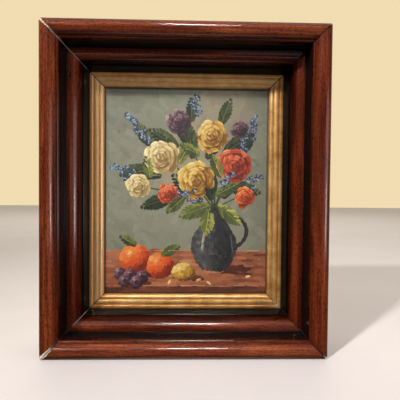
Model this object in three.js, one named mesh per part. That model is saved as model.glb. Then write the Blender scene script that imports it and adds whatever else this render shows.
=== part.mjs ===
// A deep-set picture frame: four mitred rails of polished wood with ebonised bands step down
// from a front roll to a gilt liner of four mitred strips, which holds a painted panel.
// Millimetres, +Z up. The painting faces -Y, and the origin is under the middle of the frame.
import * as THREE from "three";

// Driving dimensions of the whole frame
const FRAME_WIDTH = 309;
const FRAME_HEIGHT = 360;
const FRAME_DEPTH = 72;
const PANEL_WIDTH = 203.2;
const PANEL_HEIGHT = 254;
const PANEL_THICKNESS = 3.2;

// Rail moulding, from the outer edge inwards. A fall is measured back from the front crest.
const ROLL_CREST = 7.7;
const ROLL_RADIUS = 9;
const REED_FALL = 7.6;
const REED_EDGE = 19.1;
const REED_ROUND = 0.6;
const REED_FOOT = 19.4;
const WALL_START = 19.7;
const WALL_START_FALL = 14;
const OVOLO_START = 20.3;
const OVOLO_FALL = 30;
const OVOLO_RADIUS = 14;
const QUIRK_WIDTH = 0.7;
const QUIRK_FALL = 46.5;
const FILLET_FALL = 44.3;
const RAIL_WIDTH = 38.9;
const RAIL_EDGE_FALL = 54;

// Rabbet behind the rail: a lip over the liner, and a wider ledge at the very back to hang by
const LIP_BACK = 57;
const RABBET_WALL = 34;
const HANGING_LEDGE = 32.5;
const LEDGE_START = 66.3;

// Gilt liner moulding, from under the rail's lip to the sight edge
const LINER_SHOULDER_FALL = 55.5;
const LINER_RIDGE_START = 41.9;
const LINER_RIDGE_END = 42.5;
const LINER_RIDGE_FALL = 54.8;
const LINER_GROOVE = 43.3;
const LINER_GROOVE_FALL = 56.2;
const LINER_TORUS_START = 43.9;
const LINER_TORUS_END = 49.2;
const LINER_TORUS_CREST = 46.6;
const LINER_TORUS_FALL = 55;
const LINER_TORUS_RADIUS = 6;
const LINER_BEAD_START = 51.2;
const LINER_BEAD_END = 54.5;
const LINER_BEAD_CREST = 52.3;
const LINER_BEAD_FALL = 55.5;
const LINER_BEAD_RADIUS = 2.6;
const SIGHT_EDGE = 55.6;
const SIGHT_EDGE_FALL = 58.4;
const LINER_SEAT = 61;
const LINER_BACK = 66;

// Clearances. A mitre's gap is widest at the outer corner, where old joints have opened.
const FIT_GAP = 0.3;
const JOINT_GAP = 0.3;
const CORNER_GAP = {
  topLeft: 1.0,
  topRight: 0.5,
  bottomRight: 0.9,
  bottomLeft: 1.8,
};

const ARC_STEPS = 8;
const RIGHT_ANGLE = Math.PI / 2;

const polishedWood = new THREE.MeshStandardMaterial({ color: 0x5a2a1a, roughness: 0.25, metalness: 0 });
const gilding = new THREE.MeshStandardMaterial({ color: 0xa8763c, roughness: 0.4, metalness: 0.7 });
const oilPaint = new THREE.MeshStandardMaterial({ color: 0x88897b, roughness: 0.5, metalness: 0 });

// A moulding's outline is drawn in its section: x runs inwards from the frame's outer edge,
// and y runs forwards from the middle of the frame's depth.
function forward(fall) {
  return FRAME_DEPTH / 2 - fall;
}

function lineInto(outline, inward, fall) {
  outline.lineTo(inward, forward(fall));
}

// A convex round, from one distance inwards to another, about the place of its crest
function roundInto(outline, crest, crestFall, radius, start, end) {
  const startAngle = Math.acos((start - crest) / radius);
  const endAngle = Math.acos((end - crest) / radius);
  outline.absarc(crest, forward(crestFall + radius), radius, startAngle, endAngle, true);
}

function railOutline() {
  const outline = new THREE.Shape();
  outline.moveTo(0, forward(FRAME_DEPTH));
  lineInto(outline, 0, ROLL_RADIUS - Math.sqrt(ROLL_RADIUS ** 2 - ROLL_CREST ** 2));
  const rollFoot = ROLL_CREST + Math.sqrt(ROLL_RADIUS ** 2 - (ROLL_RADIUS - REED_FALL) ** 2);
  roundInto(outline, ROLL_CREST, 0, ROLL_RADIUS, 0, rollFoot);
  // A narrow flat runs from the foot of the roll to a reed, which has its arris rounded
  lineInto(outline, REED_EDGE - REED_ROUND, REED_FALL);
  lineInto(outline, REED_EDGE, REED_FALL + REED_ROUND);
  lineInto(outline, REED_FOOT, WALL_START_FALL);
  // The ebonised wall drops to the second, quarter-round roll
  lineInto(outline, WALL_START, WALL_START_FALL);
  lineInto(outline, OVOLO_START, OVOLO_FALL);
  const ovoloEnd = OVOLO_START + OVOLO_RADIUS;
  roundInto(outline, OVOLO_START, OVOLO_FALL, OVOLO_RADIUS, OVOLO_START, ovoloEnd);
  lineInto(outline, ovoloEnd, QUIRK_FALL);
  lineInto(outline, ovoloEnd + QUIRK_WIDTH, QUIRK_FALL);
  // The inner ebonised fillet slopes steeply to the rail's inner edge
  lineInto(outline, ovoloEnd + QUIRK_WIDTH, FILLET_FALL);
  lineInto(outline, RAIL_WIDTH, RAIL_EDGE_FALL);
  lineInto(outline, RAIL_WIDTH, LIP_BACK);
  lineInto(outline, RABBET_WALL, LIP_BACK);
  lineInto(outline, RABBET_WALL, LEDGE_START);
  lineInto(outline, HANGING_LEDGE, LEDGE_START);
  lineInto(outline, HANGING_LEDGE, FRAME_DEPTH);
  outline.closePath();
  return outline;
}

function linerOutline() {
  const flange = RABBET_WALL + FIT_GAP;
  const shoulder = RAIL_WIDTH + FIT_GAP;
  const flangeFall = LIP_BACK + FIT_GAP;
  const panelWall = (FRAME_WIDTH - PANEL_WIDTH) / 2 - FIT_GAP;
  const outline = new THREE.Shape();
  outline.moveTo(flange, forward(LINER_BACK));
  lineInto(outline, flange, flangeFall);
  lineInto(outline, shoulder, flangeFall);
  // A sharp ridge, a broad torus and a small bead follow each other to the sight edge
  lineInto(outline, shoulder, LINER_SHOULDER_FALL);
  lineInto(outline, LINER_RIDGE_START, LINER_RIDGE_FALL);
  lineInto(outline, LINER_RIDGE_END, LINER_RIDGE_FALL);
  lineInto(outline, LINER_GROOVE, LINER_GROOVE_FALL);
  roundInto(
    outline, LINER_TORUS_CREST, LINER_TORUS_FALL, LINER_TORUS_RADIUS, LINER_TORUS_START, LINER_TORUS_END,
  );
  roundInto(outline, LINER_BEAD_CREST, LINER_BEAD_FALL, LINER_BEAD_RADIUS, LINER_BEAD_START, LINER_BEAD_END);
  lineInto(outline, SIGHT_EDGE, SIGHT_EDGE_FALL);
  lineInto(outline, SIGHT_EDGE, LINER_SEAT);
  lineInto(outline, panelWall, LINER_SEAT);
  lineInto(outline, panelWall, LINER_BACK);
  outline.closePath();
  return outline;
}

// How far past the true mitre a strip is cut back, so that each joint has its gap
function mitreTrim(inward, cornerGap) {
  const gap = THREE.MathUtils.mapLinear(inward, 0, RAIL_WIDTH, cornerGap, JOINT_GAP);
  return Math.max(gap, JOINT_GAP) * Math.SQRT1_2;
}

// A length of moulding with both ends cut at 45 degrees. It lies along X with its outer edge
// at z = 0, its inside towards +Z and its face towards -Y.
function mitredStrip(outline, length, startGap, endGap) {
  const strip = new THREE.ExtrudeGeometry(outline, {
    depth: length,
    bevelEnabled: false,
    curveSegments: ARC_STEPS,
  });
  const place = strip.attributes.position;
  for (let i = 0; i < place.count; i++) {
    const inward = place.getX(i);
    const towardsFront = place.getY(i);
    const atStart = place.getZ(i) < length / 2;
    const cut = inward + mitreTrim(inward, atStart ? startGap : endGap);
    const along = atStart ? cut - length / 2 : length / 2 - cut;
    place.setXYZ(i, along, -towardsFront, inward);
  }
  strip.computeVertexNormals();
  return strip;
}

function namedMesh(name, geometry, material) {
  const mesh = new THREE.Mesh(geometry, material);
  mesh.name = name;
  return mesh;
}

// One side of the frame: its rail, and the liner strip that sits in the rail's rabbet
function frameSide(side) {
  const { name, length, turn, x, z, startGap, endGap } = side;
  const group = new THREE.Group();
  const rail = mitredStrip(railOutline(), length, startGap, endGap);
  const liner = mitredStrip(linerOutline(), length, JOINT_GAP, JOINT_GAP);
  group.add(namedMesh(`frame_rail_${name}`, rail, polishedWood));
  group.add(namedMesh(`gilt_liner_${name}`, liner, gilding));
  group.position.set(x, 0, z);
  group.rotation.y = turn;
  return group;
}

// The panel's painted face rests against the liner's seat
function paintedPanel() {
  const board = new THREE.BoxGeometry(PANEL_WIDTH, PANEL_THICKNESS, PANEL_HEIGHT);
  const panel = namedMesh("painted_panel", board, oilPaint);
  const faceFall = LINER_SEAT + FIT_GAP;
  panel.position.set(0, faceFall + PANEL_THICKNESS / 2 - FRAME_DEPTH / 2, FRAME_HEIGHT / 2);
  return panel;
}

const { topLeft, topRight, bottomRight, bottomLeft } = CORNER_GAP;
const middle = FRAME_HEIGHT / 2;
const sides = [
  {
    name: "bottom", length: FRAME_WIDTH, turn: 0, x: 0, z: 0,
    startGap: bottomLeft, endGap: bottomRight,
  },
  {
    name: "right", length: FRAME_HEIGHT, turn: -RIGHT_ANGLE, x: FRAME_WIDTH / 2, z: middle,
    startGap: bottomRight, endGap: topRight,
  },
  {
    name: "top", length: FRAME_WIDTH, turn: 2 * RIGHT_ANGLE, x: 0, z: FRAME_HEIGHT,
    startGap: topRight, endGap: topLeft,
  },
  {
    name: "left", length: FRAME_HEIGHT, turn: RIGHT_ANGLE, x: -FRAME_WIDTH / 2, z: middle,
    startGap: topLeft, endGap: bottomLeft,
  },
];

const framedPainting = new THREE.Group();
for (const side of sides) {
  framedPainting.add(frameSide(side));
}
framedPainting.add(paintedPanel());

export default framedPainting;
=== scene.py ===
import math
import random

import bpy
import numpy as np
from mathutils import Matrix, Vector


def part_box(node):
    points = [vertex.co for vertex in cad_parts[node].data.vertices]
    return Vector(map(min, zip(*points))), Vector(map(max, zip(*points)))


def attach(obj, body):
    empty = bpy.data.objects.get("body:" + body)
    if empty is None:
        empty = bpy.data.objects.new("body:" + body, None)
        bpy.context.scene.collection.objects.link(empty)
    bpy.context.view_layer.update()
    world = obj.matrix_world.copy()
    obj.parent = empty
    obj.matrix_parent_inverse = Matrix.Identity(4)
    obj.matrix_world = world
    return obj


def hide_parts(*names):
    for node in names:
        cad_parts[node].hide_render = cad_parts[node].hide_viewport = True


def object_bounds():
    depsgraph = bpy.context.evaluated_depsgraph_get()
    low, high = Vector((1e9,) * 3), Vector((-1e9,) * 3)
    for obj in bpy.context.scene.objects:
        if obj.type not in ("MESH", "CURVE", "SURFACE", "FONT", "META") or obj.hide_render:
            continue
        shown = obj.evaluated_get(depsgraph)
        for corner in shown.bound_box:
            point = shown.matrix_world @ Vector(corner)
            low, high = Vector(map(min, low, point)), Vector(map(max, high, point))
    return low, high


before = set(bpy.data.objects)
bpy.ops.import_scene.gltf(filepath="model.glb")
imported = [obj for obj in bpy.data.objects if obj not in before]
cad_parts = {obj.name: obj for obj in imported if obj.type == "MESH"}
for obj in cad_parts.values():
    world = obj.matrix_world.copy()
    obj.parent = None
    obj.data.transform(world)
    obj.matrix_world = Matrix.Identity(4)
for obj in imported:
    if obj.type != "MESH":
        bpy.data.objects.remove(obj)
cad_low, cad_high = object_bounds()


# Rails: four mitred lengths of deep moulding in dark red-brown hardwood, French polished.
# The wall below the reed and the fillet at the inner edge are ebonised, and the back is bare.
# They are glued and pinned at the mitres, which have opened a little with age.
MM = 0.001
frame_width = cad_high.x - cad_low.x
frame_height = cad_high.z - cad_low.z
front_crest = cad_low.y
rail_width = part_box("frame_rail_bottom")[1].z
joint_gap = 0.3 * MM
corner_gap = {
    "top_left": 1.0 * MM, "top_right": 0.5 * MM, "bottom_right": 0.9 * MM, "bottom_left": 1.8 * MM,
}
seam_width = 0.4 * MM
worn_reach = 1.8 * MM
ripple_length = 50.0 * MM
ripple_height = 0.01 * MM
loops_along = 80
seed_step = 0.37
soft_edge_angle = math.radians(33)

# How worn the edges of each mitre are, by the distance inwards from the frame's edge in millimetres
corner_wear = {
    "top_left": [
        (0.0, 0.9), (6.0, 0.7), (11.0, 0.30), (20.0, 0.34), (30.0, 0.20), (38.0, 0.12), (39.0, 0.0),
    ],
    "top_right": [(0.0, 0.4), (3.0, 0.0), (39.0, 0.0)],
    "bottom_right": [
        (0.0, 1.2), (2.0, 0.9), (3.5, 0.0), (39.0, 0.0), (40.0, 0.45), (47.0, 0.45), (48.0, 0.0),
    ],
    "bottom_left": [
        (0.0, 1.9), (6.0, 1.6), (12.0, 0.8), (14.0, 0.0),
        (25.0, 0.0), (28.0, 0.25), (38.0, 0.25), (39.0, 0.0),
    ],
}

# Each side: its length, its turn in degrees, the middle of its outer edge, and the corners at its ends
sides = {
    "bottom": (frame_width, 0.0, (0.0, 0.0), ("bottom_left", "bottom_right")),
    "right": (frame_height, -90.0, (frame_width / 2, frame_height / 2), ("bottom_right", "top_right")),
    "top": (frame_width, 180.0, (0.0, frame_height), ("top_right", "top_left")),
    "left": (frame_height, 90.0, (-frame_width / 2, frame_height / 2), ("top_left", "bottom_left")),
}


def arc_points(inward, fall, radius, start, end, steps):
    """Points in millimetres on an arc of the section, with angles in degrees from straight inwards."""
    points = []
    for step in range(steps + 1):
        angle = math.radians(start + (end - start) * step / steps)
        points.append((inward + radius * math.cos(angle), fall - radius * math.sin(angle)))
    return points


def banded(points, band):
    """Gives each point of a section the finish of the face that follows it."""
    return [(inward, fall, band) for inward, fall in points]


# Sizes of the moulding in millimetres: places inwards from the outer edge, and falls behind the crest
roll_crest = 7.7
roll_radius = 9.0
ovolo_start = 20.8
ovolo_fall = 30.1
ovolo_radius = 13.5
ovolo_end = ovolo_start + ovolo_radius
rail_edge = rail_width / MM
lip_back = 57.0
rabbet_wall = 34.0
hanging_ledge = 32.5
ledge_fall = 66.3
back_fall = 72.0
back_bevel = 0.6

rail_section = (
    # The front roll, with a reed at its foot
    banded(arc_points(roll_crest, roll_radius, roll_radius, 148.82, 9.5, 34), "polish")
    + banded([(16.62, 7.55), (17.1, 7.65)], "polish")
    + banded(arc_points(17.45, 8.65, 1.0, 95.0, 57.0, 5), "polish")
    + banded(arc_points(18.73, 8.705, 0.35, 57.0, 4.0, 5), "polish")
    + banded([(19.4, 13.7)], "polish")
    # The ebonised wall, down to the quarter-round roll
    + banded([(19.68, 14.05), (20.15, 29.2), (20.35, 29.8)], "ebony")
    + banded(arc_points(ovolo_start, ovolo_fall + ovolo_radius, ovolo_radius, 90.0, 0.0, 30), "polish")
    + banded([(ovolo_end, 46.1)], "polish")
    # A quirk, and the ebonised fillet that slopes to the inner edge
    + banded([(34.45, 46.4), (34.75, 46.4)], "ebony")
    + banded(arc_points(34.98, 44.75, 0.22, 172.0, 57.0, 5), "ebony")
    + banded(arc_points(35.49, 45.06, 0.20, 57.0, 22.0, 3), "ebony")
    + banded([(38.75, 53.6), (rail_edge, 54.1), (rail_edge, lip_back)], "ebony")
    # The rabbet for the liner, the ledge to hang by, and the flat back
    + banded([(rabbet_wall, lip_back), (rabbet_wall, ledge_fall)], "bare")
    + banded([(hanging_ledge, ledge_fall), (hanging_ledge, back_fall)], "bare")
    + banded([(back_bevel, back_fall), (0.0, back_fall - back_bevel)], "side")
)

# How dark the polish is, by the distance inwards: 1 is clear, and 0 is dark with stain and old wax
# In the recesses this darkening is painted shade as well as stain.
rail_stain_and_shade = [
    (0.0, 0.80), (4.0, 0.92), (8.0, 0.92), (12.0, 0.86), (15.4, 1.0), (16.2, 0.85), (16.7, 0.50),
    (17.3, 0.70), (18.6, 0.60), (18.95, 0.25), (19.2, 0.10), (19.8, 0.10), (20.5, 0.34), (24.0, 0.53),
    (28.0, 0.78), (30.0, 0.70), (32.0, 0.36), (33.2, 0.12), (34.2, 0.03), (38.9, 0.03),
]


def nearest_on_section(section, inward, fall):
    """The section's segment nearest to each point, and the distance along the section there."""
    corners = np.array([(p[0], p[1]) for p in section]) * MM
    ends = np.roll(corners, -1, axis=0)
    run = ends - corners
    lengths = np.hypot(run[:, 0], run[:, 1])
    starts = np.concatenate(([0.0], np.cumsum(lengths)[:-1]))
    offset_u = inward[:, None] - corners[None, :, 0]
    offset_w = fall[:, None] - corners[None, :, 1]
    part = (offset_u * run[:, 0] + offset_w * run[:, 1]) / np.maximum(lengths**2, 1e-12)
    part = np.clip(part, 0.0, 1.0)
    apart = np.hypot(offset_u - part * run[:, 0], offset_w - part * run[:, 1])
    nearest = np.argmin(apart, axis=1)
    row = np.arange(len(inward))
    return nearest, starts[nearest] + part[row, nearest] * lengths[nearest]


def mesh_points(piece):
    """The places of a piece's points, as rows of an array."""
    points = np.zeros(len(piece.data.vertices) * 3)
    piece.data.vertices.foreach_get("co", points)
    return points.reshape(-1, 3)


def add_attribute(piece, name, kind, values):
    """Gives each point of a piece a colour or a vector that its material can read."""
    layer = piece.data.attributes.new(name, kind, "POINT")
    field = "color" if kind == "FLOAT_COLOR" else "vector"
    layer.data.foreach_set(field, np.asarray(values, dtype=np.float32).ravel())


def mitred_strip(name, section, length, gaps):
    """A length of moulding along X, extruded from its section, with both mitres cut."""
    bpy.ops.object.select_all(action="DESELECT")
    bpy.ops.mesh.primitive_circle_add(vertices=len(section), fill_type="NGON")
    strip = bpy.context.object
    strip.name = name
    strip.data.name = name
    for vertex, (inward, fall, _) in zip(strip.data.vertices, section):
        vertex.co = (-length / 2, front_crest + fall * MM, inward * MM)
    bpy.ops.object.mode_set(mode="EDIT")
    bpy.ops.mesh.select_all(action="SELECT")
    bpy.ops.mesh.extrude_region_move(TRANSFORM_OT_translate={"value": (length, 0.0, 0.0)})
    for end, gap in zip((-1, 1), gaps):
        trim = gap * math.sqrt(0.5)
        lean = 1 + (joint_gap - gap) * math.sqrt(0.5) / rail_width
        bpy.ops.mesh.select_all(action="SELECT")
        bpy.ops.mesh.bisect(
            plane_co=(end * (length / 2 - trim), 0.0, 0.0), plane_no=(end, 0.0, lean),
            use_fill=True, clear_outer=True,
        )
    bpy.ops.mesh.select_mode(type="EDGE")
    bpy.ops.mesh.select_all(action="DESELECT")
    bpy.ops.object.mode_set(mode="OBJECT")
    points = mesh_points(strip)
    for edge in strip.data.edges:
        start, end = (points[i] for i in edge.vertices)
        edge.select = bool(abs(start[0] - end[0]) > 0.5 * length)
    bpy.ops.object.mode_set(mode="EDIT")
    bpy.ops.mesh.subdivide(number_cuts=loops_along)
    bpy.ops.mesh.select_all(action="SELECT")
    bpy.ops.mesh.normals_make_consistent(inside=False)
    bpy.ops.object.mode_set(mode="OBJECT")
    return strip


def add_grain_and_joint(strip, section, side, gaps, stain_and_shade, seed):
    """Tells the materials how the grain runs, how near each mitre is, how worn it is, and its stain and
    painted shade.
    """
    length, _, _, corners = sides[side]
    points = mesh_points(strip)
    inward, fall = points[:, 2], points[:, 1] - front_crest
    _, across = nearest_on_section(section, inward, fall)
    seeds = np.full(len(points), seed_step * seed)
    add_attribute(strip, "grain", "FLOAT_VECTOR", np.column_stack((points[:, 0], across, seeds)))
    shrink = [(gap + (joint_gap - gap) * inward / rail_width) * math.sqrt(0.5) for gap in gaps]
    to_start = points[:, 0] + length / 2 - inward - shrink[0]
    to_end = length / 2 - inward - points[:, 0] - shrink[1]
    wear = [np.interp(inward / MM, *np.transpose(corner_wear[corner])) for corner in corners]
    wear = np.where(to_start < to_end, wear[0], wear[1])
    stain_shade = np.interp(inward / MM, *np.transpose(stain_and_shade))
    joint = np.column_stack((np.minimum(to_start, to_end), wear, stain_shade))
    add_attribute(strip, "joint", "FLOAT_VECTOR", joint)


def mitred_moulding(name, section, side, gaps, stain_and_shade, finishes, seed):
    """One side of the frame in a moulding, with its bands of finish, turned into its place."""
    length, turn, place, _ = sides[side]
    strip = mitred_strip(name, section, length, gaps)
    add_grain_and_joint(strip, section, side, gaps, stain_and_shade, seed)
    for finish in finishes.values():
        strip.data.materials.append(finish)
    slots = list(finishes)
    centres = np.array([face.center for face in strip.data.polygons])
    segment, _ = nearest_on_section(section, centres[:, 2], centres[:, 1] - front_crest)
    for face, at in zip(strip.data.polygons, segment):
        band = "joint" if abs(face.normal.x) > 0.5 else section[at][2]
        face.material_index = slots.index(band)
    strip.rotation_euler = (0.0, math.radians(turn), 0.0)
    strip.location = (place[0], 0.0, place[1])
    bpy.ops.object.transform_apply(location=True, rotation=True, scale=True)
    bpy.ops.object.shade_smooth_by_angle(angle=soft_edge_angle)
    return strip


def unevenness(strip, name, size, strength):
    """Hand finishing leaves the faces very slightly uneven."""
    texture = bpy.data.textures.new(name, "CLOUDS")
    texture.noise_scale = size
    modifier = strip.modifiers.new(name, "DISPLACE")
    modifier.texture = texture
    modifier.texture_coords = "LOCAL"
    modifier.strength = strength
    modifier.mid_level = 0.5
    bpy.context.view_layer.objects.active = strip
    bpy.ops.object.modifier_apply(modifier=name)


class Finish:
    """A node material, with its nodes added one after another from left to right."""

    def __init__(self, name):
        self.material = bpy.data.materials.new(name)
        self.material.use_nodes = True
        self.tree = self.material.node_tree
        self.surface = self.tree.nodes["Principled BSDF"]

    def node(self, kind, inputs=(), **settings):
        made = self.tree.nodes.new(kind)
        for key, value in settings.items():
            setattr(made, key, value)
        for socket, value in dict(inputs).items():
            if isinstance(value, bpy.types.NodeSocket):
                self.tree.links.new(value, made.inputs[socket])
            else:
                made.inputs[socket].default_value = value
        return made

    def attribute(self, name, output="Vector"):
        return self.node("ShaderNodeAttribute", attribute_name=name).outputs[output]

    def joint(self):
        """The distance to the mitre's cut face, the wear there, and the stain and painted shade, as X, Y
        and Z.
        """
        return self.node("ShaderNodeSeparateXYZ", {"Vector": self.attribute("joint")}).outputs

    def stretched(self, vector, scale):
        return self.node("ShaderNodeMapping", {"Vector": vector, "Scale": scale}).outputs["Vector"]

    def noise(self, vector, scale, detail=3.0, roughness=0.5, distortion=0.0):
        made = self.node("ShaderNodeTexNoise", {
            "Vector": vector, "Scale": scale, "Detail": detail,
            "Roughness": roughness, "Distortion": distortion,
        })
        return made.outputs["Fac"]

    def ramp(self, value, stops):
        made = self.node("ShaderNodeValToRGB", {"Fac": value})
        elements = made.color_ramp.elements
        while len(elements) < len(stops):
            elements.new(0.5)
        for element, (position, colour) in zip(elements, stops):
            element.position = position
            shades = colour if isinstance(colour, tuple) else (colour, colour, colour)
            element.color = (*shades, 1.0)
        return made.outputs["Color"]

    def combine(self, operation, first, second):
        return self.node("ShaderNodeMath", {0: first, 1: second}, operation=operation).outputs[0]

    def mix(self, amount, first, second, blend="MIX"):
        made = self.node("ShaderNodeMix", data_type="RGBA", blend_type=blend)
        factor, under, over = made.inputs[0], made.inputs[6], made.inputs[7]
        for socket, value in ((factor, amount), (under, first), (over, second)):
            if isinstance(value, bpy.types.NodeSocket):
                self.tree.links.new(value, socket)
            elif isinstance(value, tuple):
                socket.default_value = (*value, 1.0)
            else:
                socket.default_value = value
        return made.outputs[2]

    def bump(self, height, strength, distance):
        settings = {"Height": height, "Strength": strength, "Distance": distance}
        return self.node("ShaderNodeBump", settings).outputs["Normal"]

    def finish(self, **sockets):
        for name, value in sockets.items():
            socket = self.surface.inputs[name.replace("_", " ")]
            if isinstance(value, bpy.types.NodeSocket):
                self.tree.links.new(value, socket)
            else:
                socket.default_value = (*value, 1.0) if isinstance(value, tuple) else value
        return self.material


def joint_line(finish, colour, dark_line, bare, width):
    """Dirt lies along each mitre, and bare wood shows where the edges of an opened one are worn."""
    joint = finish.joint()
    seam = finish.combine("LESS_THAN", joint["X"], dark_line)
    colour = finish.mix(seam, colour, (0.008, 0.005, 0.004))
    ragged = finish.noise(finish.stretched(finish.attribute("grain"), (60.0, 900.0, 1.0)), 1.0, 2.0)
    reach = finish.combine("MULTIPLY", joint["Y"], ragged)
    reach = finish.combine("MULTIPLY", reach, width)
    worn = finish.combine("LESS_THAN", joint["X"], reach)
    return finish.mix(worn, colour, bare)


def polished_wood():
    finish = Finish("polished red-brown hardwood")
    grain = finish.attribute("grain")
    figure = finish.noise(finish.stretched(grain, (7.0, 95.0, 3.0)), 1.0, 4.0, 0.55, 0.6)
    fibre = finish.noise(finish.stretched(grain, (16.0, 1100.0, 5.0)), 1.0, 5.0, 0.6)
    pores = finish.noise(finish.stretched(grain, (300.0, 1400.0, 7.0)), 1.0, 3.0, 0.6)
    colour = finish.ramp(figure, [
        (0.28, (0.048, 0.0068, 0.0028)), (0.43, (0.116, 0.0202, 0.0072)),
        (0.58, (0.207, 0.0435, 0.0138)), (0.76, (0.362, 0.0980, 0.0320)),
    ])
    streaks = finish.ramp(fibre, [(0.32, 0.30), (0.52, 1.0), (0.72, 1.40)])
    colour = finish.mix(0.8, colour, streaks, "MULTIPLY")
    flecks = finish.ramp(pores, [(0.36, 0.22), (0.50, 1.0), (0.64, 1.25)])
    colour = finish.mix(0.9, colour, flecks, "MULTIPLY")
    # Stain and painted shade darken the hollows, and the polish is thinner there.
    stain_shade = finish.joint()["Z"]
    shade = finish.ramp(stain_shade, [
        (0.0, (0.06, 0.03, 0.02)), (0.4, (0.40, 0.26, 0.18)), (1.0, (1.0, 1.0, 1.0)),
    ])
    colour = finish.mix(1.0, colour, shade, "MULTIPLY")
    colour = joint_line(finish, colour, seam_width, (0.80, 0.73, 0.61), worn_reach)
    gloss = finish.ramp(fibre, [(0.3, 0.60), (0.7, 0.48)])
    polish = finish.ramp(stain_shade, [(0.0, 0.15), (0.5, 0.90)])
    return finish.finish(
        Base_Color=colour, Roughness=gloss, Specular_IOR_Level=0.0, Coat_Weight=polish,
        Coat_Roughness=0.15, Coat_IOR=1.5, Coat_Normal=finish.bump(flecks, 0.02, 0.0002),
    )


def ebonised_wood():
    finish = Finish("ebonised wood")
    grain = finish.attribute("grain")
    fibre = finish.noise(finish.stretched(grain, (14.0, 900.0, 5.0)), 1.0, 4.0, 0.55)
    rubbed = finish.noise(finish.stretched(grain, (40.0, 260.0, 2.0)), 1.0, 5.0, 0.65)
    colour = finish.ramp(fibre, [(0.3, (0.0020, 0.0020, 0.0021)), (0.7, (0.0065, 0.0058, 0.0056))])
    worn = finish.ramp(rubbed, [(0.66, 0.0), (0.78, 1.0)])
    colour = finish.mix(worn, colour, (0.045, 0.017, 0.009))
    colour = joint_line(finish, colour, seam_width, (0.72, 0.65, 0.54), worn_reach)
    gloss = finish.ramp(rubbed, [(0.3, 0.45), (0.7, 0.60)])
    return finish.finish(
        Base_Color=colour, Roughness=gloss, Specular_IOR_Level=0.0,
        Coat_Weight=0.45, Coat_Roughness=0.19, Normal=finish.bump(fibre, 0.08, 0.0002),
    )


def bare_wood():
    finish = Finish("bare wood of the back")
    grain = finish.attribute("grain")
    fibre = finish.noise(finish.stretched(grain, (11.0, 700.0, 5.0)), 1.0, 5.0, 0.6)
    stain = finish.noise(finish.stretched(grain, (9.0, 40.0, 2.0)), 1.0, 4.0, 0.6)
    colour = finish.ramp(fibre, [
        (0.3, (0.15, 0.085, 0.045)), (0.5, (0.25, 0.155, 0.085)), (0.72, (0.34, 0.225, 0.13)),
    ])
    dirt = finish.ramp(stain, [(0.35, 0.45), (0.6, 1.0)])
    colour = finish.mix(0.8, colour, dirt, "MULTIPLY")
    return finish.finish(
        Base_Color=colour, Roughness=finish.ramp(stain, [(0.3, 0.85), (0.7, 0.7)]),
        Normal=finish.bump(fibre, 0.4, 0.0003),
    )


def mitre_face():
    finish = Finish("glue and dirt in the mitres")
    grain = finish.attribute("grain")
    dirt = finish.noise(finish.stretched(grain, (300.0, 300.0, 3.0)), 1.0, 4.0, 0.6)
    colour = finish.ramp(dirt, [(0.35, (0.010, 0.006, 0.004)), (0.70, (0.045, 0.026, 0.014))])
    clean = finish.ramp(finish.joint()["Y"], [(0.25, 0.0), (0.60, 1.0)])
    colour = finish.mix(clean, colour, (0.72, 0.65, 0.54))
    return finish.finish(Base_Color=colour, Roughness=finish.ramp(dirt, [(0.3, 0.95), (0.7, 0.75)]))


def stained_side():
    finish = Finish("stained side of the rail")
    grain = finish.attribute("grain")
    figure = finish.noise(finish.stretched(grain, (6.0, 70.0, 3.0)), 1.0, 4.0, 0.55, 0.5)
    fibre = finish.noise(finish.stretched(grain, (15.0, 900.0, 5.0)), 1.0, 5.0, 0.6)
    colour = finish.ramp(figure, [
        (0.3, (0.022, 0.0065, 0.0038)), (0.5, (0.055, 0.0145, 0.0070)), (0.75, (0.105, 0.028, 0.0120)),
    ])
    streaks = finish.ramp(fibre, [(0.32, 0.4), (0.55, 1.0), (0.75, 1.3)])
    colour = finish.mix(0.8, colour, streaks, "MULTIPLY")
    return finish.finish(
        Base_Color=colour, Roughness=finish.ramp(fibre, [(0.3, 0.5), (0.7, 0.38)]),
        Coat_Weight=0.2, Coat_Roughness=0.25, Normal=finish.bump(fibre, 0.2, 0.0002),
    )


rail_finishes = {
    "polish": polished_wood(), "ebony": ebonised_wood(), "bare": bare_wood(), "side": stained_side(),
    "joint": mitre_face(),
}
for number, side in enumerate(sides):
    gaps = [corner_gap[corner] for corner in sides[side][3]]
    rail = mitred_moulding(
        f"moulded_rail_{side}", rail_section, side, gaps, rail_stain_and_shade, rail_finishes, number + 1,
    )
    unevenness(rail, f"hand finish {side}", ripple_length, ripple_height)
    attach(rail, "root")
    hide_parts(f"frame_rail_{side}")


# Gilt liner: four mitred strips of softwood, gessoed and gilded over a red-brown ground.
# They sit behind the rails' inner lip, and their own mitres show as dark lines.
# The leaf is rubbed through in streaks and speckled with dirt.
# The left strip, and less so the top one, is painted paler and less rubbed: painted light.
leaf_painted_light = {"bottom": 0.0, "right": 0.0, "top": 0.3, "left": 0.9}
leaf_seam = 0.45 * MM
leaf_wear = 3.0 * MM
gesso_ripple_length = 12.0 * MM
gesso_ripple_height = 0.12 * MM
# How dark the gilding is painted in its hollows: grime there, and painted shade in the grooves.
liner_grime_and_shade = [
    (39.1, 0.62), (41.4, 0.72), (42.2, 1.0), (42.8, 0.75), (43.4, 0.58), (45.0, 0.72), (46.6, 0.88),
    (48.5, 0.92), (49.8, 0.62), (50.6, 0.78), (52.0, 1.0), (54.2, 1.0), (55.6, 0.70),
]
fit_gap = 0.3
flange = rabbet_wall + fit_gap
flange_fall = lip_back + fit_gap
shoulder = rail_edge + fit_gap
torus_crest = 46.6
torus_fall = 55.0
torus_radius = 6.0
bead_crest = 52.3
bead_fall = 55.5
bead_radius = 2.6
sight_edge = 55.6
panel_wall = 52.6
liner_seat = 61.0
liner_back = 66.0
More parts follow.
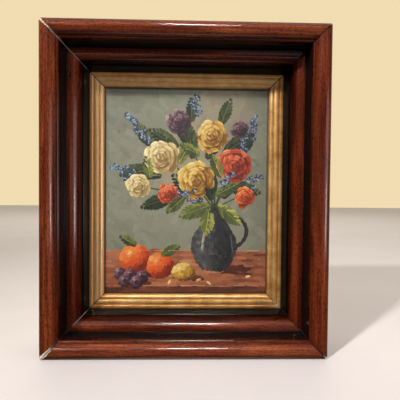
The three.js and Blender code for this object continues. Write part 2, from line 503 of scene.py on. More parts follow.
liner_section = (
    # The flange behind the rail's lip
    banded([(flange, liner_back), (flange, flange_fall), (shoulder, flange_fall)], "bare")
    # A sharp ridge, a broad torus and a small bead, down to the sight edge
    + banded([(shoulder, 55.7), (39.3, 55.5), (41.7, 54.85)], "gilt")
    + banded(arc_points(42.1, 55.25, 0.5, 110.0, 20.0, 7), "gilt")
    + banded([(43.15, 56.1), (43.4, 56.1)], "gilt")
    + banded(arc_points(torus_crest, torus_fall + torus_radius, torus_radius, 117.0, 65.0, 16), "gilt")
    + banded([(49.6, 55.82), (50.4, 55.9)], "gilt")
    + banded(arc_points(bead_crest, bead_fall + bead_radius, bead_radius, 116.0, 32.2, 16), "gilt")
    + banded([(55.35, 58.2), (sight_edge, 58.6)], "gilt")
    # The rebate that holds the panel
    + banded([(sight_edge, 60.7), (55.3, liner_seat)], "bare")
    + banded([(panel_wall, liner_seat), (panel_wall, liner_back)], "bare")
)


def worn_gilding(side):
    finish = Finish(f"worn gilding with painted light {side}")
    painted_light_share = leaf_painted_light[side]
    grain = finish.attribute("grain")
    place = finish.node("ShaderNodeTexCoord").outputs["Object"]
    rubbing = finish.noise(finish.stretched(grain, (14.0, 480.0, 3.0)), 1.0, 6.0, 0.68)
    cloud = finish.noise(place, 55.0, 4.0, 0.6)
    specks = finish.noise(place, 900.0, 2.0, 0.5)
    leaf = finish.ramp(cloud, [
        (0.34, (0.60, 0.310, 0.095)), (0.50, (0.86, 0.490, 0.175)), (0.66, (1.00, 0.650, 0.285)),
    ])
    # Painted light: the left and top strips are painted paler, with less rubbed ground and less painted
    # shade.
    leaf = finish.mix(painted_light_share, leaf, (1.0, 0.61, 0.28))
    ground = finish.ramp(rubbing, [
        (0.51, 0.0), (0.64, 0.50 - 0.4 * painted_light_share), (0.77, 0.95 - 0.7 * painted_light_share),
    ])
    colour = finish.mix(ground, leaf, (0.24, 0.098, 0.034))
    dirt = finish.ramp(specks, [(0.29, 0.15), (0.37, 1.0)])
    colour = finish.mix(0.85, colour, dirt, "MULTIPLY")
    # Grime and painted shade darken the hollows of the gilding.
    shade = finish.ramp(finish.joint()["Z"], [(0.3, (0.40, 0.30, 0.20)), (1.0, (1.0, 1.0, 1.0))])
    colour = finish.mix(1.0 - 0.6 * painted_light_share, colour, shade, "MULTIPLY")
    colour = joint_line(finish, colour, leaf_seam, (0.80, 0.74, 0.64), leaf_wear)
    metal = finish.ramp(ground, [(0.2, 0.62), (0.8, 0.15)])
    gloss = finish.ramp(rubbing, [(0.35, 0.27), (0.65, 0.44)])
    return finish.finish(
        Base_Color=colour, Metallic=metal, Roughness=gloss, Normal=finish.bump(rubbing, 0.25, 0.0003),
        Coat_Weight=0.20, Coat_Roughness=0.20,
    )


liner_finishes = {"bare": rail_finishes["bare"], "joint": rail_finishes["joint"]}
for number, side in enumerate(sides):
    gaps = [joint_gap, joint_gap]
    liner_finishes["gilt"] = worn_gilding(side)
    liner = mitred_moulding(
        f"gilded_strip_{side}", liner_section, side, gaps, liner_grime_and_shade, liner_finishes,
        len(sides) + number + 1,
    )
    unevenness(liner, f"gesso {side}", gesso_ripple_length, gesso_ripple_height)
    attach(liner, "root")
    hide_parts(f"gilt_liner_{side}")


# Painted panel: a thin board, primed and painted in oils, laid loose in the liner's rebate.
# A jug of blossoms stands with fruit on a table, in a plain design of loaded brush marks.
# Every mark is a copy of one dab of paint, laid over the paint below it; the back is bare board.
panel_low, panel_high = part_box("painted_panel")
panel_middle = (panel_low + panel_high) / 2
sight_half_width = frame_width / 2 / MM - sight_edge
sight_half_height = frame_height / 2 / MM - sight_edge
light_ahead = Vector((-0.50, 0.58, 0.64)).normalized()
pewter = [(30, 31, 34), (50, 52, 56), (82, 85, 88), (132, 134, 132), (208, 204, 190)]
terracotta = [(70, 36, 26), (116, 62, 44), (156, 94, 66), (184, 122, 90), (206, 154, 120)]
orange = [(112, 36, 18), (176, 62, 24), (212, 92, 38), (228, 132, 66), (244, 194, 136)]
ochre = [(104, 70, 28), (160, 114, 42), (206, 164, 74), (228, 200, 118), (244, 228, 176)]
cream = [(128, 102, 62), (178, 150, 96), (214, 194, 138), (234, 220, 176), (248, 240, 216)]
coral = [(92, 26, 18), (150, 46, 26), (196, 78, 42), (220, 116, 74), (240, 174, 134)]
plum = [(34, 20, 32), (58, 36, 52), (90, 60, 76), (132, 102, 112), (182, 158, 160)]
blue = [(20, 30, 56), (38, 58, 100), (66, 98, 144), (122, 154, 184), (192, 210, 216)]
green = [(20, 30, 24), (40, 54, 36), (74, 88, 48), (126, 134, 62), (188, 184, 98)]
grey_green = [(112, 116, 106), (126, 130, 117), (138, 141, 127), (150, 152, 137), (164, 163, 147)]
beige = [(118, 112, 98), (134, 128, 111), (148, 142, 124), (160, 153, 135), (172, 164, 146)]
brush = random.Random(41)
marks = []


def tone(pigments, value):
    """A colour between the dark end of a row of pigments, at 0, and the light end, at 1."""
    at = min(max(value, 0.0), 0.999) * (len(pigments) - 1)
    first, second = pigments[int(at)], pigments[int(at) + 1]
    return tuple(a + (b - a) * (at % 1.0) for a, b in zip(first, second))


def mark(x, z, angle, length, width, pigments, value, body=0.12, bend=0.0, streak=0.17):
    """One touch of the brush, in millimetres from the middle of the panel, and degrees."""
    value += brush.gauss(0.0, 0.05)
    second = tone(pigments, value + brush.choice((-1.0, -0.7, 0.7, 1.0)) * streak)
    marks.append((x, z, math.radians(angle), length, width, body, bend, tone(pigments, value), second))


def lit(across, up):
    """How brightly a rounded form is lit, at a point given as shares of its half width and height."""
    facing = Vector((across, up, math.sqrt(max(0.0, 1.0 - across**2 - up**2))))
    return max(0.0, facing.dot(light_ahead))


def ball(x, z, half_width, half_height, pigments, rings):
    """A round fruit, laid in with strokes that follow its form, with a light touch last."""
    size = min(half_width, half_height)
    for slant in (0, 60, 120):
        mark(x, z, slant, 1.8 * size, 1.5 * size, pigments, 0.30, 0.05)
    for share, count in rings:
        for number in range(count):
            turn = 2 * math.pi * (number + 0.6 * brush.random()) / count
            across, up = share * math.cos(turn), share * math.sin(turn)
            along = math.degrees(math.atan2(math.cos(turn) * half_height, -math.sin(turn) * half_width))
            slant = along + brush.gauss(0, 9)
            mark(x + across * half_width, z + up * half_height, slant, size * 0.66, size * 0.44,
                 pigments, 0.02 + 0.80 * lit(across, up), 0.10, -0.7 * share, 0.10)
    mark(x - 0.36 * half_width, z + 0.42 * half_height, 38, size * 0.42, size * 0.22,
         pigments, 0.97, 0.14)
    mark(x - 0.30 * half_width, z + 0.30 * half_height, 44, size * 0.50, size * 0.16,
         pigments, 0.85, 0.14)


def rosette(x, z, radius, pigments, turn):
    """A full round blossom, with rings of curled petals from the outside inwards."""
    for slant in (0, 60, 120):
        mark(x, z, turn + slant, 1.75 * radius, 1.25 * radius, pigments, 0.14, 0.06)
    for share, petals, size in ((0.80, 11, 0.70), (0.57, 9, 0.60), (0.36, 7, 0.48), (0.16, 4, 0.36)):
        for petal in range(petals):
            angle = turn + 360 * petal / petals + 50 * share + brush.gauss(0, 9)
            reach = radius * share * (1 + brush.gauss(0, 0.09))
            cosine, sine = math.cos(math.radians(angle)), math.sin(math.radians(angle))
            value = 0.46 - 0.20 * cosine + 0.22 * sine - 0.14 * (0.8 - share) + brush.gauss(0, 0.07)
            spread = size * radius * (1 + brush.gauss(0, 0.10))
            across = angle + 90
            mark(x + 0.86 * reach * cosine, z + 0.86 * reach * sine, across,
                 spread * 1.05, spread * 0.60, pigments, value - 0.34, 0.09, -0.9)
            mark(x + reach * cosine, z + reach * sine, across + brush.gauss(0, 8),
                 spread, spread * 0.46, pigments, value, 0.15, -0.9)
            mark(x + 1.15 * reach * cosine, z + 1.15 * reach * sine, across + brush.gauss(0, 12),
                 spread * brush.uniform(0.4, 0.75), spread * 0.17, pigments, value + 0.28, 0.17, -0.9)
    for number in range(6):
        angle = math.radians(60 * number)
        mark(x + 0.08 * radius * math.cos(angle), z + 0.08 * radius * math.sin(angle), 57 * number,
             radius * 0.18, radius * 0.11, pigments, 0.04 + 0.14 * (number % 3), 0.14)


def leaf(x, z, angle, length, width, value):
    """A pointed leaf, with strokes drawn out from the midrib to both edges."""
    along, up = math.cos(math.radians(angle)), math.sin(math.radians(angle))
    middle_x, middle_z = x + 0.48 * along * length, z + 0.48 * up * length
    mark(middle_x, middle_z, angle, length * 0.80, width * 0.62, green, value - 0.12, 0.06)
    steps = max(4, round(length / 4.6))
    for step in range(steps):
        share = (step + 0.6) / steps
        reach = 0.5 * width * math.sin(math.pi * share**0.8)
        for side in (-1, 1):
            place_x = x + along * length * share - side * up * reach * 0.5
            place_z = z + up * length * share + side * along * reach * 0.5
            mark(place_x, place_z, angle + side * 32, reach * 1.1 + 2.6, 4.0, green,
                 value + 0.13 * side * along - 0.10 * side * up, 0.10, 0.3 * side)
    mark(middle_x, middle_z, angle, length * 0.88, 1.0, green, value + 0.30, 0.12)


def stem(start, middle, end, width, value):
    """A thin stalk, drawn as a few touches along a bent line."""
    steps = 7
    for step in range(steps):
        share = (step + 0.5) / steps
        place = [(1 - share)**2 * a + 2 * share * (1 - share) * b + share**2 * c
                 for a, b, c in zip(start, middle, end)]
        slope = [(1 - share) * (b - a) + share * (c - b) for a, b, c in zip(start, middle, end)]
        angle = math.degrees(math.atan2(slope[1], slope[0]))
        mark(place[0], place[1], angle, 2.6 * math.hypot(*slope) / steps, width, green, value, 0.11)


def spray(x, z, angle, length, florets):
    """A spike of small blossoms along a stalk."""
    along, up = math.cos(math.radians(angle)), math.sin(math.radians(angle))
    tip = (x + along * length, z + up * length)
    stem((x, z), (x + along * length / 2, z + up * length / 2), tip, 1.3, 0.30)
    for number in range(florets):
        share = (number + 0.7) / florets
        off = brush.uniform(-1, 1) * (1.20 - share) * 9.0
        middle_x, middle_z = x + along * length * share - up * off, z + up * length * share + along * off
        for petal in range(5):
            turn = 72 * petal + brush.uniform(0, 50)
            cosine, sine = math.cos(math.radians(turn)), math.sin(math.radians(turn))
            mark(middle_x + 1.7 * cosine, middle_z + 1.7 * sine, turn,
                 4.3, 2.3, blue, brush.uniform(0.08, 0.78), 0.14)
        mark(middle_x, middle_z, brush.uniform(0, 180), 1.7, 1.2, ochre, 0.85, 0.14)


# The plain ground behind the flowers is rubbed in with broad crossing strokes, paler in the middle.
left_edge = -103
top_edge = 126
ground_end = -86
for layer, slants in enumerate(((52, -46), (-40, 58))):
    for row in range(34):
        for column in range(16):
            x = left_edge + 13.4 * (column + 0.5 * (row % 2)) + brush.gauss(0, 2.5)
            z = top_edge - 6.6 * row + brush.gauss(0, 2.0)
            patch = math.sin(0.031 * x + 0.8) + math.sin(0.027 * z - 0.019 * x + 0.4)
            if z > ground_end and (layer == 0 or brush.random() < 0.55):
                value = 0.52 + 0.07 * patch - 0.0000125 * (x * x + z * z) + brush.gauss(0, 0.06)
                slant = slants[patch > 0.1] + brush.gauss(0, 12)
                pigments = beige if patch > 0.75 else grey_green
                mark(x, z, slant, 23, 9.5, pigments, value, 0.045, brush.gauss(0, 0.25), 0.09)

# The table is drawn in level strokes from its far edge down to its front edge.
# Shadows fall to the right of each thing on it.
table_edge = -72
table_front = -115
for row in range(7):
    for column in range(8):
        x, z = -100 + 28 * column, table_edge - 5 - 8 * row
        mark(x, z, brush.gauss(0, 2), 36, 11, terracotta, 0.45, 0.04)
for row in range(15):
    depth = (row + 0.5) / 15
    for column in range(14):
        x = left_edge + 15.4 * (column + 0.5 * (row % 2)) + brush.gauss(0, 2)
        z = table_edge - 53 * depth + brush.gauss(0, 0.6)
        value = 0.52 + 0.08 * math.sin(0.045 * x + 3 * depth) + brush.gauss(0, 0.07)
        value -= 0.36 if depth > 0.80 else 0.0
        mark(x, z, brush.gauss(-1, 4), 21, 5.8, terracotta, value, 0.07, 0.0, 0.14)
for column in range(13):
    x = -98 + 16.4 * column
    mark(x, table_edge + brush.gauss(0, 0.4), brush.gauss(0, 2), 18, 1.8, terracotta, 0.84, 0.11)
    mark(x, table_front + brush.gauss(0, 0.4), brush.gauss(0, 2), 18, 1.8, terracotta, 0.80, 0.11)
cast_shadows = [
    (64, -92, 30), (56, -96, 34), (-34, -98, 22), (0, -103, 22),
    (-42, -101, 22), (12, -106, 18), (-60, -113, 26),
]
for middle_x, middle_z, spread in cast_shadows:
    for number in range(7):
        x, z = middle_x + brush.gauss(0, 0.25 * spread), middle_z + brush.gauss(0, 1.6)
        mark(x, z, brush.gauss(-3, 4), spread * 0.7, 4.2, terracotta, 0.03, 0.07)

# Stalks and the leaves behind the blossoms come next, then the pewter jug that holds them.
jug_middle = 34
mouth = (jug_middle, -22)
blossoms = [
    (58, 32, 20, coral, 10), (12, 14, 22, ochre, 40), (-30, 42, 20, cream, 75),
    (30, 68, 19, ochre, 120), (-10, 84, 14, plum, 20), (-58, 6, 14, cream, 55),
    (71, -6, 12, orange, 90), (-22, -2, 12, coral, 130), (64, 76, 11, plum, 60),
]
for x, z, radius, pigments, turn in blossoms:
    stem(mouth, ((mouth[0] + x) / 2 + 4, (mouth[1] + z) / 2 + 8), (x, z), 2.2, 0.34)
back_leaves = [
    (44, 46, 35, 42, 22, 0.28), (-10, 54, 150, 42, 22, 0.26), (8, 40, 100, 46, 22, 0.32),
    (48, 8, -12, 44, 22, 0.24), (-30, 18, 165, 46, 20, 0.22), (-40, 52, 125, 40, 18, 0.38),
    (40, 80, 68, 36, 16, 0.36), (6, 84, 92, 30, 14, 0.30), (62, 44, 55, 34, 17, 0.20),
    (-14, -6, 198, 44, 20, 0.20), (24, 40, 60, 36, 18, 0.18), (-44, 26, 190, 38, 16, 0.34),
    (30, -10, 95, 40, 22, 0.14), (14, -6, 140, 42, 22, 0.16), (44, -8, 60, 40, 20, 0.15),
    (2, 56, 110, 34, 18, 0.20),
]
for spec in back_leaves:
    leaf(*spec)
back_sprays = [
    (-46, 58, 128, 44, 17), (70, 48, 74, 46, 16), (-64, 20, 160, 28, 10), (74, 10, 28, 20, 7),
    (10, 92, 84, 24, 8),
]
for spec in back_sprays:
    spray(*spec)
jug_lip = -21
handle_x, handle_z = 48, -48
jug_heights = [-96, -92, -84, -70, -56, -44, -34, -27, -21]
jug_radii = [15, 16, 23, 28, 26, 19, 13.5, 14, 17.5]


def jug_radius(height):
    """The jug's half width at a height."""
    return float(np.interp(height, jug_heights, jug_radii))


for step in range(12):
    angle = 112 - 205 * (step + 0.5) / 12
    cosine, sine = math.cos(math.radians(angle)), math.sin(math.radians(angle))
    x, z = handle_x + 25 * cosine, handle_z + 21 * sine
    mark(x, z, angle + 90, 9.5, 5.4, pewter, 0.12, 0.12, -0.5)
    x, z = handle_x + 26 * cosine, handle_z + 1 + 22 * sine
    mark(x, z, angle + 90, 7.5, 1.8, pewter, 0.28 + 0.45 * max(0.0, sine), 0.14, -0.5)
for row in range(13):
    z = -93 + 5.8 * row
    mark(jug_middle, z, 0, 2.05 * jug_radius(z), 9.0, pewter, 0.10, 0.05)
for row in range(18):
    z = -92.5 + 4.0 * row
    columns = max(5, round(jug_radius(z) / 2.6))
    swell = (jug_radius(z + 2) - jug_radius(z - 2)) / 4
    for column in range(columns):
        across = (2 * column + 1) / columns - 1
        value = 0.03 + 0.60 * lit(across, 0.0) ** 1.7 + (0.18 if across > 0.78 else 0.0)
        slant = 90 - math.degrees(math.atan(across * swell)) + brush.gauss(0, 4)
        mark(jug_middle + across * jug_radius(z), z - 1.6 * (1 - across**2), slant,
             8.5, 2.5 * jug_radius(z) / columns, pewter, value, 0.08, 0.0, 0.12)
for number in range(7):
    mark(jug_middle - 12 + 4 * number, jug_lip + 2.0 * math.sin(number), 0, 8, 3.8, pewter, 0.0, 0.09)
for number in range(9):
    angle = math.pi * (1 + number / 8)
    x, z = jug_middle + 17 * math.cos(angle), jug_lip + 1 + 4.4 * math.sin(angle)
    mark(x, z, 60 * math.cos(angle), 6.5, 2.0, pewter, 0.76 - 0.06 * number, 0.15)
for z, length in ((-60, 16), (-68, 11), (-53, 8), (-36, 6)):
    mark(jug_middle - 0.50 * jug_radius(z), z, 80, length, 3.0, pewter, 0.80, 0.13)
    mark(jug_middle - 0.53 * jug_radius(z), z + 1, 80, length * 0.6, 1.4, pewter, 0.97, 0.15)
for z, length in ((-58, 14), (-68, 12)):
    mark(jug_middle + 0.80 * jug_radius(z), z, 96, length, 2.4, pewter, 0.42, 0.12)

# The blossoms themselves, with the leaves that lie in front of them and hang over the jug's lip.
for x, z, radius, pigments, turn in blossoms:
    rosette(x, z, radius, pigments, turn)
front_leaves = [
    (30, -16, 200, 42, 22, 0.60), (38, -16, -40, 38, 19, 0.68), (36, -4, 28, 32, 16, 0.58),
    (-2, -6, 222, 30, 15, 0.52), (42, 18, 112, 30, 15, 0.62), (-10, 34, 60, 28, 14, 0.70),
    (16, 44, 150, 28, 14, 0.58), (-44, 16, 100, 28, 14, 0.62), (28, -20, 262, 34, 20, 0.74),
]
for spec in front_leaves:
    leaf(*spec)
for spec in ((20, -8, 166, 30, 9), (46, 4, 66, 22, 7)):
    spray(*spec)

# Fruit on the table: two oranges, a lemon and a few plums, with some fallen petals.
ball(-62, -82, 18, 17, orange, ((0.84, 15), (0.62, 12), (0.38, 8), (0.14, 4)))
ball(-31, -90, 16, 15, orange, ((0.84, 14), (0.60, 11), (0.34, 7), (0.12, 3)))
ball(-3, -98, 15, 11, ochre, ((0.82, 13), (0.56, 9), (0.28, 5)))
for x, z in ((-80, -100), (-67, -102), (-53, -104), (-74, -109), (-60, -111)):
    ball(x, z, 8.2, 7.8, plum, ((0.78, 9), (0.42, 6)))
leaf(-30, -78, 28, 26, 13, 0.50)
leaf(-60, -66, 150, 24, 12, 0.42)
for x, z, angle in ((16, -108, 20), (28, -112, -35), (76, -104, 15), (-20, -111, 60)):
    mark(x, z, angle, 7.0, 3.6, ochre, 0.66, 0.14, 0.6)
    mark(x - 0.6, z + 0.9, angle, 4.8, 1.3, ochre, 0.92, 0.15, 0.6)


def dab_of_paint():
    """A flat-topped touch of paint, with its underside closed."""
    bpy.ops.object.select_all(action="DESELECT")
    bpy.ops.mesh.primitive_grid_add(x_subdivisions=5, y_subdivisions=3, size=2.0)
    dab = bpy.context.object
    bpy.ops.object.mode_set(mode="EDIT")
    bpy.ops.mesh.select_all(action="SELECT")
    bpy.ops.mesh.region_to_loop()
    bpy.ops.mesh.edge_face_add()
    bpy.ops.object.mode_set(mode="OBJECT")
    flat = mesh_points(dab)[:, :2]
    faces = sorted((list(face.vertices) for face in dab.data.polygons), key=len, reverse=True)
    underside = Vector((0, 0, 0))
    for first, second in zip(faces[0], faces[0][1:] + faces[0][:1]):
        underside += Vector((*flat[first], 0)).cross(Vector((*flat[second], 0)))
    if underside.z > 0:
        faces[0].reverse()
    bpy.data.objects.remove(dab)
    return flat, faces


def linear(colour):
    """A pigment's colour under aged varnish, as the renderer reads it."""
    shares = np.asarray(colour) / 255.0
    return old_varnish * np.where(shares <= 0.04045, shares / 12.92, ((shares + 0.055) / 1.055) ** 2.4)


# Lengths from here on are in millimetres, and places on a dab are shares of its half length and width.
old_varnish = np.array((0.78, 0.77, 0.72))
bare_margin = 0.4
paint_half_width = (panel_high.x - panel_low.x) / 2 / MM - bare_margin
paint_half_height = (panel_high.z - panel_low.z) / 2 / MM - bare_margin
lip_cover = 0.6
height_under_lip = 0.20
first_film = 0.02
thinnest_film = 0.005
bristle_step = 0.731
soft_paint_angle = math.radians(60)
dab_points, dab_faces = dab_of_paint()
dab_along, dab_across = dab_points[:, 0], dab_points[:, 1]
dab_edge = (np.abs(dab_along) > 0.99) | (np.abs(dab_across) > 0.99)
dab_height = np.where(dab_edge, -0.15, 0.85 + 0.15 * dab_along)
trail = np.meshgrid(np.linspace(-1.0, 1.0, 21), np.linspace(-1.0, 1.0, 9))
trail_along, trail_across = trail[0].ravel(), trail[1].ravel()
far_along = np.abs(dab_along[:, None] - trail_along[None, :]) > 0.42
far_across = np.abs(dab_across[:, None] - trail_across[None, :]) > 0.70
beyond_reach = far_along | far_across
cell = 0.5
field_half_width = 105
field_half_height = 130
build_up = np.zeros((int(2 * field_half_width / cell), int(2 * field_half_height / cell)))


def swept(spec, along, across):
    """Where the points of a dab come to lie when it is drawn out along its bent path."""
    x, z, angle, length, width, _, bend = spec[:7]
    spine = along * length / 2
    bow = bend * length / 8 * (1 - along**2)
    slope = np.arctan(-bend * along / 2)
    taper = 1.0 - 0.45 * np.abs(along) ** 3
    off = across * width / 2 * taper
    side_x, side_z = spine - np.sin(slope) * off, bow + np.cos(slope) * off
    return (x + math.cos(angle) * side_x - math.sin(angle) * side_z,
            z + math.sin(angle) * side_x + math.cos(angle) * side_z)


def cells_at(x, z):
    """The cells of the panel's field that lie below some points."""
    columns, rows = build_up.shape
    column = np.clip(((x + field_half_width) / cell).astype(int), 0, columns - 1)
    row = np.clip(((z + field_half_height) / cell).astype(int), 0, rows - 1)
    return column, row


paint_points, paint_faces = [], []
paint_colours, streak_colours, bristles = [], [], []
for number, spec in enumerate(marks):
    *_, length, width, body, _, colour, streak_colour = spec
    x, z = swept(spec, dab_along, dab_across)
    x = np.clip(x, -paint_half_width, paint_half_width)
    z = np.clip(z, -paint_half_height, paint_half_height)
    spot = cells_at(*swept(spec, trail_along, trail_across))
    covered = build_up[spot]
    below = np.where(beyond_reach, 0.0, covered[None, :]).max(axis=1)
    height = first_film + below + body * dab_height
    beside = np.abs(x) > sight_half_width - lip_cover
    hidden = beside | (np.abs(z) > sight_half_height - lip_cover)
    height = np.where(hidden, np.minimum(height, height_under_lip), height)
    height = np.maximum(height, thinnest_film)
    paint_points.append(np.column_stack((
        panel_middle.x + x * MM, panel_low.y - height * MM, panel_middle.z + z * MM,
    )))
    start = len(dab_points) * number
    paint_faces.extend([[start + corner for corner in face] for face in dab_faces])
    paint_colours.append(np.tile((*linear(colour), 1.0), (len(dab_points), 1)))
    streak_colours.append(np.tile((*linear(streak_colour), 1.0), (len(dab_points), 1)))
    bristles.append(np.column_stack((
        dab_along * length / 2 * MM, dab_across * width / 2 * MM,
        np.full(len(dab_points), bristle_step * number),
    )))
    build_up[spot] = np.maximum(covered, covered.mean()) + max(0.30 * body, first_film)
paint_mesh = bpy.data.meshes.new("paint_layer")
paint_mesh.from_pydata(np.concatenate(paint_points), [], paint_faces)
paint = bpy.data.objects.new("paint_layer", paint_mesh)
bpy.context.scene.collection.objects.link(paint)
add_attribute(paint, "paint", "FLOAT_COLOR", np.concatenate(paint_colours))
add_attribute(paint, "streak", "FLOAT_COLOR", np.concatenate(streak_colours))
add_attribute(paint, "bristles", "FLOAT_VECTOR", np.concatenate(bristles))
corners = np.zeros(len(paint_mesh.loops), dtype=np.int32)
paint_mesh.loops.foreach_get("vertex_index", corners)
spread_flat = (mesh_points(paint)[corners] - np.array(panel_low))[:, [0, 2]]
spread_flat /= (panel_high.x - panel_low.x, panel_high.z - panel_low.z)
paint_mesh.uv_layers.new(name="OFBake").data.foreach_set("uv", spread_flat.ravel())
bpy.ops.object.select_all(action="DESELECT")
paint.select_set(True)
bpy.context.view_layer.objects.active = paint
bpy.ops.object.shade_smooth_by_angle(angle=soft_paint_angle)


def oil_paint():
    finish = Finish("oil paint")
    bristle_marks = finish.stretched(finish.attribute("bristles"), (150.0, 2300.0, 1.0))
    streaks = finish.noise(bristle_marks, 1.0, 3.0, 0.6)
    cover = finish.ramp(streaks, [(0.42, 0.0), (0.66, 0.9)])
    colour = finish.mix(cover, finish.attribute("paint", "Color"), finish.attribute("streak", "Color"))
    from_middle = finish.node("ShaderNodeVectorMath", {
        0: finish.node("ShaderNodeTexCoord").outputs["Object"], 1: panel_middle,
    }, operation="SUBTRACT").outputs["Vector"]
    share = finish.node("ShaderNodeVectorMath", {
        0: from_middle, 1: (sight_half_width * MM, 1.0, sight_half_height * MM),
    }, operation="DIVIDE").outputs["Vector"]
    share = finish.node("ShaderNodeVectorMath", {0: share}, operation="ABSOLUTE").outputs["Vector"]
    share = finish.node("ShaderNodeSeparateXYZ", {"Vector": share}).outputs
    edge = finish.combine("MAXIMUM", share["X"], share["Z"])
    # A thin dark line is painted along the sight edge: grime, and painted shade under the liner's edge.
    dark_line = finish.ramp(edge, [(0.978, 0.0), (0.990, 0.75)])
    colour = finish.mix(dark_line, colour, (0.020, 0.015, 0.008))
    return finish.finish(
        Base_Color=colour, Roughness=finish.ramp(streaks, [(0.3, 0.50), (0.7, 0.34)]),
        Coat_Weight=0.12, Coat_Roughness=0.25, Normal=finish.bump(streaks, 0.55, 0.0004),
    )


paint_mesh.materials.append(oil_paint())
board_arris = 0.35 * MM
soft_board_angle = math.radians(35)
bpy.ops.object.select_all(action="DESELECT")
bpy.ops.mesh.primitive_cube_add(size=1.0, location=panel_middle)
board = bpy.context.object
board.name = "panel_board"
board.data.name = "panel_board"
board.scale = panel_high - panel_low
bpy.ops.object.transform_apply(location=True, rotation=True, scale=True)
bpy.ops.object.mode_set(mode="EDIT")
bpy.ops.mesh.select_all(action="SELECT")
bpy.ops.mesh.bevel(offset=board_arris, segments=2, affect="EDGES")
bpy.ops.object.mode_set(mode="OBJECT")


def primed_ground():
    finish = Finish("toned priming")
    place = finish.node("ShaderNodeTexCoord").outputs["Object"]
    scrub = finish.noise(finish.stretched(place, (300.0, 300.0, 120.0)), 1.0, 4.0, 0.6)
    colour = finish.ramp(scrub, [(0.3, (0.17, 0.17, 0.135)), (0.7, (0.21, 0.21, 0.17))])
    return finish.finish(Base_Color=colour, Roughness=0.6, Normal=finish.bump(scrub, 0.3, 0.0003))


def fibre_board():
    finish = Finish("bare fibre board")
    place = finish.node("ShaderNodeTexCoord").outputs["Object"]
    fibres = finish.noise(place, 420.0, 5.0, 0.7)
    stain = finish.noise(place, 16.0, 4.0, 0.6)
    colour = finish.ramp(fibres, [
        (0.3, (0.105, 0.060, 0.032)), (0.5, (0.165, 0.100, 0.055)), (0.7, (0.225, 0.145, 0.085)),
    ])
    colour = finish.mix(0.6, colour, finish.ramp(stain, [(0.35, 0.55), (0.62, 1.0)]), "MULTIPLY")
    return finish.finish(Base_Color=colour, Roughness=0.85, Normal=finish.bump(fibres, 0.35, 0.0004))


board.data.materials.append(fibre_board())
board.data.materials.append(primed_ground())
for face in board.data.polygons:
    face.material_index = 1 if face.normal.y < -0.9 else 0
bpy.ops.object.shade_smooth_by_angle(angle=soft_board_angle)
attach(board, "root")
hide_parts("painted_panel")
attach(paint, "root")


# Stage: a plain pale floor, soft studio lights and the camera in front of the picture.
# Fills light the faces and don't show in the polish; glints and sheens show only in the polish.
floor_width = 8.0
bpy.ops.object.select_all(action="DESELECT")
bpy.ops.mesh.primitive_plane_add(size=floor_width)
floor = bpy.context.object
floor.name = "studio_floor"
floor_finish = Finish("pale floor")
speckle = floor_finish.noise(floor_finish.node("ShaderNodeTexCoord").outputs["Object"], 6.0, 2.0)
floor.data.materials.append(floor_finish.finish(
    Base_Color=floor_finish.ramp(speckle, [(0.3, (0.74, 0.715, 0.745)), (0.7, (0.78, 0.755, 0.785))]),
    Roughness=0.55,
))
floor.visible_diffuse = False
floor.visible_glossy = False

world = bpy.data.worlds.new("studio")
bpy.context.scene.world = world
world.use_nodes = True
world_nodes = world.node_tree.nodes
world_links = world.node_tree.links
direction = world_nodes.new("ShaderNodeSeparateXYZ")
world_links.new(world_nodes.new("ShaderNodeTexCoord").outputs["Generated"], direction.inputs["Vector"])
room_tones = (
    ("Y", 1.0, (0.15, (0.035, 0.032, 0.030)), (0.70, (0.88, 0.72, 0.44))),
    ("Z", 1.0, (0.28, (0.0, 0.0, 0.0)), (0.90, (0.60, 0.56, 0.51))),
    ("Z", -1.0, (0.50, (0.0, 0.0, 0.0)), (0.53, (2.5, 2.2, 2.1)), (0.56, (0.0, 0.0, 0.0))),
    ("Z", -1.0, (0.93, (0.0, 0.0, 0.0)), (0.99, (1.10, 0.98, 0.96))),
)
room = world_nodes["Background"].inputs["Color"]
for axis, heading, *tones in room_tones:
    facing = world_nodes.new("ShaderNodeMath")
    facing.operation = "MULTIPLY"
    facing.inputs[1].default_value = heading
    world_links.new(direction.outputs[axis], facing.inputs[0])
    sweep = world_nodes.new("ShaderNodeValToRGB")
    while len(sweep.color_ramp.elements) < len(tones):
        sweep.color_ramp.elements.new(0.5)
    for element, (position, colour) in zip(sweep.color_ramp.elements, tones):
        element.position = position
        element.color = (*colour, 1.0)
    world_links.new(facing.outputs[0], sweep.inputs["Fac"])
    glow = world_nodes.new("ShaderNodeMix")
    glow.data_type = "RGBA"
    glow.blend_type = "LIGHTEN"
    glow.inputs[0].default_value = 1.0
    glow.inputs[6].default_value = (0.0, 0.0, 0.0, 1.0)
    world_links.new(sweep.outputs["Color"], glow.inputs[7])
    world_links.new(glow.outputs[2], room)
    room = glow.inputs[6]


picture_middle = (0.0, 0.0, frame_height / 2)


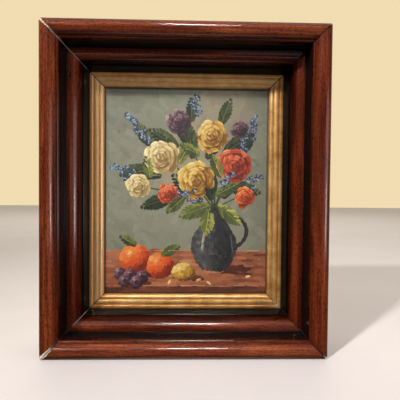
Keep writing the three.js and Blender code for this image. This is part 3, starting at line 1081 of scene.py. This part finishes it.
def softbox(name, place, size, power, colour, spread, aim=picture_middle, fills=True, glints=True):
    """A flat lamp with its place and size in metres, its power in watts and its spread in degrees."""
    light = bpy.data.lights.new(name, "AREA")
    light.shape = "RECTANGLE"
    light.size, light.size_y = size
    light.energy = power
    light.color = colour
    light.spread = math.radians(spread)
    lamp = bpy.data.objects.new(name, light)
    lamp.visible_diffuse = fills
    lamp.visible_glossy = glints
    lamp.location = place
    lamp.rotation_euler = (Vector(aim) - Vector(place)).to_track_quat("-Z", "Y").to_euler()
    bpy.context.scene.collection.objects.link(lamp)


softbox("left softbox", (-0.95, -1.16, 1.32), (0.12, 0.10), 2.42, (1.0, 0.94, 0.86), 45)
softbox("front fill", (0.05, -1.65, 0.95), (0.5, 0.3), 0.9, (1.0, 0.95, 0.90), 60, glints=False)
softbox("right fill", (1.22, -0.68, 0.25), (0.8, 0.7), 11.0, (1.0, 0.92, 0.96), 180, glints=False)
softbox("front glint", (0.02, -1.45, 1.72), (0.40, 0.05), 1.18, (1.0, 0.95, 0.94), 45, fills=False)
softbox("right glint", (0.95, -0.76, 0.10), (0.07, 0.22), 1.6, (1.0, 0.95, 0.97), 180, fills=False)
softbox("right sheen", (1.10, -0.80, 0.25), (0.8, 0.7), 3.2, (1.0, 0.88, 0.94), 180, fills=False)
softbox("gilt sheen", (0.66, -1.42, 0.22), (1.0, 0.5), 0.65, (1.0, 0.96, 0.92), 180, fills=False)
softbox(
    "floor wash", (0.0, 1.90, 1.70), (3.0, 1.2), 7.0, (1.0, 0.96, 0.92), 110, aim=(0.0, 1.70, 0.0),
)

image_pixels = 400.0
focal_pixels = 370.0
sensor_width = 36.0
yaw, pitch, roll = math.radians(1.47), math.radians(1.31), math.radians(0.49)
camera_spot = Vector((0.0050, front_crest - 0.3888, frame_height / 2 + 0.0003))
camera_data = bpy.data.cameras.new("camera")
camera_data.sensor_width = sensor_width
camera_data.lens = focal_pixels / image_pixels * sensor_width
camera = bpy.data.objects.new("camera", camera_data)
ahead = Vector((math.sin(yaw) * math.cos(pitch), math.cos(yaw) * math.cos(pitch), -math.sin(pitch)))
level = Vector((math.cos(yaw), -math.sin(yaw), 0.0))
upright = level.cross(ahead)
right = math.cos(roll) * level + math.sin(roll) * upright
above = math.cos(roll) * upright - math.sin(roll) * level
turned = Matrix((right, above, -ahead)).transposed().to_4x4()
camera.matrix_world = Matrix.Translation(camera_spot) @ turned
bpy.context.scene.collection.objects.link(camera)
bpy.context.scene.camera = camera
bpy.context.scene.view_settings.view_transform = "Standard"
